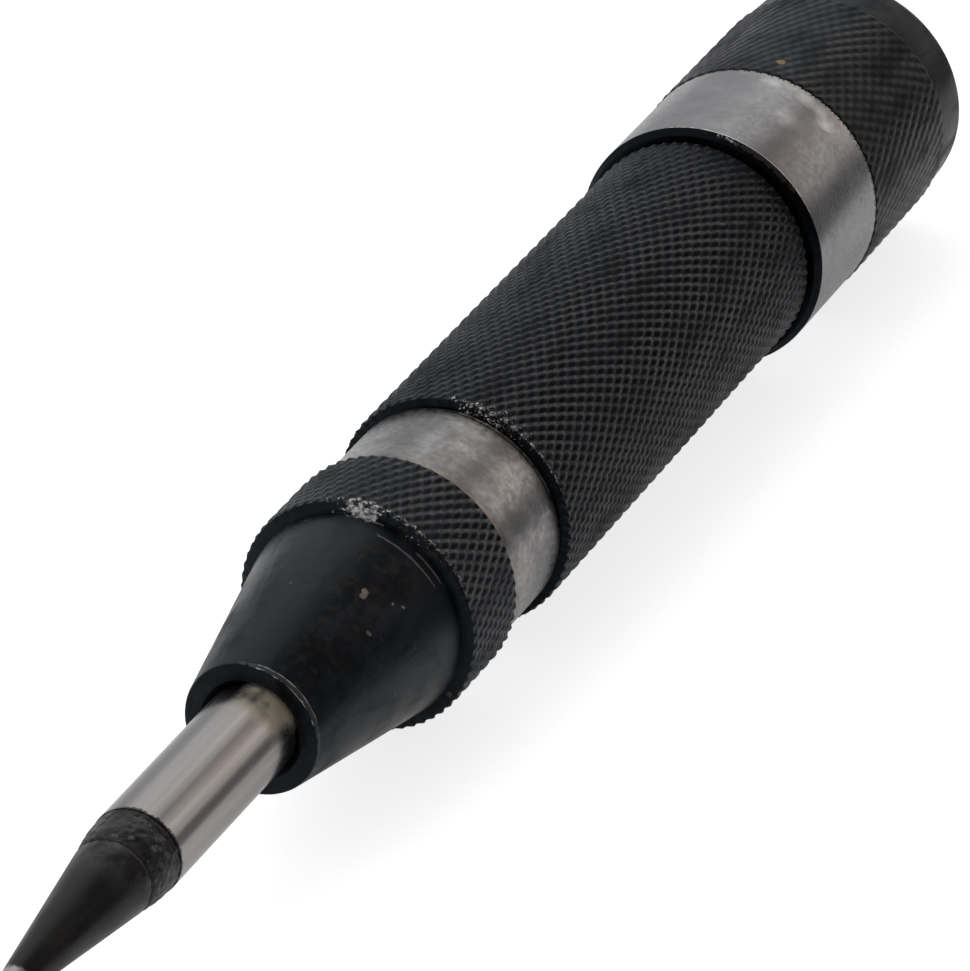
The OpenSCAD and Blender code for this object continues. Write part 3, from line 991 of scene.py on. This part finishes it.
thread_row = thread_pitch / 12
thread_front = body_rear + 1.0 * MM
runout_radius = thread_radius - 0.6 * MM
thread_chamfer = 0.5 * MM
thread_outline = rounded([
    (body_rear, guide_radius),
    (body_rear, runout_radius),
    (thread_front, runout_radius),
])
thread_corners = [
    (thread_front, thread_radius - thread_chamfer),
    (thread_front + thread_chamfer, thread_radius),
    (tube_rear - thread_chamfer, thread_radius),
    (tube_rear, thread_radius - thread_chamfer),
]
thread_outline += stretch(*thread_corners[:2], thread_row, "thread")
for start, end in zip(thread_corners[1:], thread_corners[2:]):
    thread_outline += stretch(start, end, thread_row, "thread")[1:]
thread_outline += [(tube_rear, guide_radius, None)]
body_thread = turned("body_thread", thread_outline,
                     thread_steel("thread_steel", (0.30, 0.295, 0.29), root=(0.03, 0.027, 0.024)),
                     columns=180, thread_pitch=thread_pitch, thread_depth=0.55 * MM)
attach(body_thread, "casing")
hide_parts("body_tube")

# ----------------------------------------------------------
# The adjusting cap: a closed black-oxide steel cap screwed on the body's rear thread.
# Turning it loads the main spring. Its grip is knurled more shallowly than the body's, and a
# smooth rim closes the end; a brassy fleck is caught in the knurl.
# ----------------------------------------------------------
cap_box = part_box("adjusting_cap")
cap_front = cap_box[0].x
cap_rear = cap_box[1].x
cap_radius = 8.75 * MM
cap_band_radius = 8.65 * MM
cap_bed = 8.3 * MM
cap_face_radius = 8.25 * MM
cap_band_front = cap_front + 0.42 * MM
cap_knurl_front = cap_front + 10.0 * MM
cap_rim_front = cap_rear - 4.2 * MM
cap_bore_radius = 7.0 * MM
cap_bore_floor = tube_rear + 1.3 * MM
cap_chamber_radius = 5.4 * MM
cap_floor = cap_rear - 4.7 * MM
rim_radius = 8.6 * MM
rim_rear_radius = 8.4 * MM
cap_row = 1.57 * MM / 8
cap_edge = 0.15 * MM

cap_outline = (
    [(cap_floor, 0, None)]
    + rounded([
        (cap_floor, cap_chamber_radius),
        (cap_bore_floor, cap_chamber_radius),
        (cap_bore_floor, cap_bore_radius),
        (cap_front, cap_bore_radius, 0.15 * MM),
        (cap_front, cap_face_radius, 0.08 * MM),
        (cap_band_front, cap_band_radius),
        (cap_band_front, cap_bed),
        (cap_knurl_front, cap_bed),
    ])
    + stretch((cap_knurl_front, cap_band_radius), (cap_knurl_front + cap_edge, cap_radius),
              cap_edge / 3, "knurl")
    + stretch((cap_knurl_front + cap_edge, cap_radius), (cap_rim_front - cap_edge, cap_radius),
              cap_row, "knurl")[1:]
    + stretch((cap_rim_front - cap_edge, cap_radius), (cap_rim_front, rim_radius),
              cap_edge / 3, "knurl")[1:]
    + rounded([
        (cap_rim_front + 0.05 * MM, rim_radius),
        (cap_rear, rim_rear_radius, 0.9 * MM),
        (cap_rear, 0),
    ], steps=8)
)
cap_knurling = dict(right_starts=65, right_pitch=1.64 * MM, left_starts=66, left_pitch=1.41 * MM)
cap_black = black_oxide("cap_black", cap_knurling, worn_edges=[
    rim(103, cap_front + 0.3 * MM, reach=0.3 * MM, spread=0.012, chips=4600, amount=0.3, seed=17),
], rubbed_edges=[
    (rim(118, cap_front + 0.3 * MM, reach=0.2 * MM, spread=0.12, chips=2800, amount=0.5, seed=29), 0.05),
    # A lighter grey line all round where the knurl meets the smooth rim
    (rim(90, cap_rim_front, reach=0.1 * MM, spread=40, chips=1200, amount=0.5, seed=20), 0.035),
], stains=[
    (dict(count=420, size=0.3, share=0.008, seed=18), (0.06, 0.06, 0.06)),
], flecks=[
    (spot(cap_front + 12.0 * MM, 95.2, cap_radius - 0.08 * MM, size=0.36 * MM, crispness=3),
     (0.36, 0.25, 0.11)),
], crest_grey_worn_and_highlit=0.03, gloss=0.14, bloom=0.025, crispness=2.5)
cap_grip = turned("cap_grip", cap_outline, cap_black, closed=False, columns=390,
                  knurl_radius=cap_radius, knurl_depth=0.08 * MM, crest_wear=0.25, **cap_knurling)
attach(cap_grip, "cap")
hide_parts("adjusting_cap")

# ----------------------------------------------------------
# The ground band at the front of the cap.
# It is ground bright like the nose band but wider and smoother, with soft bright and dark
# patches; the ridges of the knurl break into its rear edge.
# ----------------------------------------------------------
cap_band_steel = ground_steel(
    "cap_band_steel", (0.27, 0.265, 0.267), mottle=0.1, speckle=0.07, streaks=0.03, shine=0.26,
    tint_station=cap_knurl_front, tint_reach=0.8 * MM, tint=(0.36, 0.34, 0.31),
    patches=[
        (spot(cap_front + station * MM, degrees, cap_band_radius, size * MM, crispness=1), share)
        for station, degrees, size, share in (
            (5.9, 117, 1.3, 0.5), (9.2, 98.5, 0.9, 0.6), (9.3, 117, 0.9, 0.7),
            (8.9, 124, 1.0, 0.9), (8.2, 130, 0.8, 0.9))],
    drawn_edges=[(rim(115, cap_band_front + 0.05 * MM, reach=0.1 * MM, spread=0.3, chips=1800,
                      amount=0.6, seed=27), (0.6, 0.58, 0.55))],
    bitten_edge=(rim(90, cap_knurl_front, reach=0.24 * MM, spread=40, chips=2600, amount=0.9,
                     seed=28), cap_knurling))
cap_band = turned("cap_band", rounded([
    (cap_band_front, cap_bed),
    (cap_band_front, cap_band_radius, 0.05 * MM),
    (cap_knurl_front, cap_band_radius),
    (cap_knurl_front, cap_bed),
]), cap_band_steel, columns=195)
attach(cap_band, "cap")
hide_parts("adjusting_cap")

# ----------------------------------------------------------
# The three springs: main spring, return spring and trigger spring.
# Each is wound from oiled steel wire, with its end turns closed so that it stands square on its
# seat. The main and trigger springs are squeezed when the point is pressed.
# ----------------------------------------------------------


def coil_tree():
    """Compression spring that stands along +X from its foot, with closed turns at both ends."""
    tree, given = new_tree("wound_spring", "GeometryNodeTree", {
        "Base": "Geometry", "Wire Radius": 0.0005, "Coil Radius": 0.004, "Turns": 10.0, "Length": 0.02,
        "Steps": 28, "Sides": 14, "Finish": "Material",
    }, ["Spring"])
    wire = given["Wire Radius"]
    points = plus(times(given["Turns"], given["Steps"]), 1)
    line = add_node(tree, "GeometryNodeCurvePrimitiveLine")
    line = add_node(tree, "GeometryNodeResampleCurve", {"Curve": line.outputs[0], "Count": points})
    share = add_node(tree, "GeometryNodeSplineParameter").outputs["Factor"]
    turn = times(share, given["Turns"])
    closed = times(wire, 2.04)
    open_length = minus(given["Length"], times(wire, 6.08))
    rise = over(open_length, minus(given["Turns"], 2))
    foot = times(smaller(turn, 1), closed)
    last = minus(given["Turns"], 1)
    middle = smaller(larger(minus(turn, 1), 0), minus(last, 1))
    head = times(larger(minus(turn, last), 0), closed)
    up = plus(plus(foot, times(middle, rise)), plus(head, wire))
    angle = times(turn, 2 * math.pi)
    side = times(maths("COSINE", angle), given["Coil Radius"])
    back = times(maths("SINE", angle), given["Coil Radius"])
    spot = joined(tree, up, side, back)
    helix = add_node(tree, "GeometryNodeSetPosition", {"Geometry": line.outputs[0], "Position": spot})
    ring = add_node(tree, "GeometryNodeCurvePrimitiveCircle", {"Resolution": given["Sides"], "Radius": wire})
    tube = add_node(tree, "GeometryNodeCurveToMesh", {
        "Curve": helix.outputs[0], "Profile Curve": ring.outputs[0], "Fill Caps": True})
    shape = reshaped(tube.outputs[0], "SetShadeSmooth", {"Shade Smooth": True}, domain="FACE")
    close_tree(shape, given["Finish"])
    return tree


wound_spring = coil_tree()


def spring_wire(name, colour):
    """Drawn spring wire: dark, oiled, with fine marks along it."""
    finish, tree, skin = new_finish(name, colour, 1)
    cloud = marks(tree, along=700, across=700, detail=4, low=0.35, high=0.65, seed=51)
    fine = marks(tree, along=9000, across=2400, detail=2, low=0.3, high=0.7, seed=52)
    shade = blended(cloud, shaded(colour, 0.6), colour)
    coat(skin, shade, between(fine, 0.22, 0.4), fine, 0.004 * MM, strength=0.3)
    return finish


wire_finish = spring_wire("spring_wire", (0.24, 0.235, 0.225))


def spring(name, node, wire, turns, steps, sides, across_y=False):
    """Spring in place of its CAD node, from that node's box; it stands along X, or along Y."""
    low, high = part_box(node)
    size = high - low
    length, width = (size.y, size.x) if across_y else (size.x, size.y)
    piece = new_piece(name, bpy.data.meshes.new(name + "_base"))
    evaluated(piece, wound_spring, {
        "Wire Radius": wire / 2, "Coil Radius": width / 2 - wire / 2, "Turns": float(turns),
        "Length": length, "Steps": steps, "Sides": sides, "Finish": wire_finish})
    middle = (low + high) / 2
    for corner in piece.data.vertices:
        x, y, z = corner.co
        if across_y:
            corner.co = (middle.x - y, low.y + x, middle.z + z)
        else:
            corner.co = (low.x + x, middle.y + y, middle.z + z)
    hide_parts(node)
    return piece


main_coil = spring("main_coil", "main_spring", wire=1.3 * MM, turns=11, steps=30, sides=16)
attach(main_coil, "seat")
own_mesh(main_coil)
return_coil = spring("return_coil", "return_spring", wire=0.5 * MM, turns=9, steps=26, sides=12)
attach(return_coil, "point")
trigger_coil = spring("trigger_coil", "trigger_spring", wire=0.3 * MM, turns=4, steps=24, sides=12,
                      across_y=True)
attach(trigger_coil, "hammer")
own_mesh(trigger_coil)

# ----------------------------------------------------------
# The hammer, drive pin, trigger block and spring seat.
# Hardened and ground steel pieces that never show while the tool is whole. They keep their
# shapes from the frame and get the finish of ground, lightly oiled tool steel.
# ----------------------------------------------------------


def hardened_steel(name, colour, along, across):
    """Hardened steel with its grinding marks running one way and a little temper tint."""
    finish, tree, skin = new_finish(name, colour, 1)
    lines = marks(tree, along=along, across=across, detail=3, low=0.3, high=0.7, seed=61)
    cloud = marks(tree, along=200, across=300, detail=4, low=0.35, high=0.65, seed=62)
    shade = blended(lines, shaded(colour, 0.72), colour)
    shade = blended(times(cloud, 0.3), shade, (0.30, 0.24, 0.16))
    coat(skin, shade, between(lines, 0.22, 0.38), lines, 0.004 * MM, strength=0.4)
    return finish


turned_marks = hardened_steel("hammer_steel", (0.40, 0.40, 0.41), along=6000, across=200)
flat_marks = hardened_steel("trigger_steel", (0.42, 0.40, 0.36), along=250, across=5000)
for node, finish in (("hammer", turned_marks), ("drive_pin", turned_marks),
                     ("spring_seat", turned_marks), ("trigger_block", flat_marks)):
    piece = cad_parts[node]
    piece.data.materials.clear()
    piece.data.materials.append(finish)
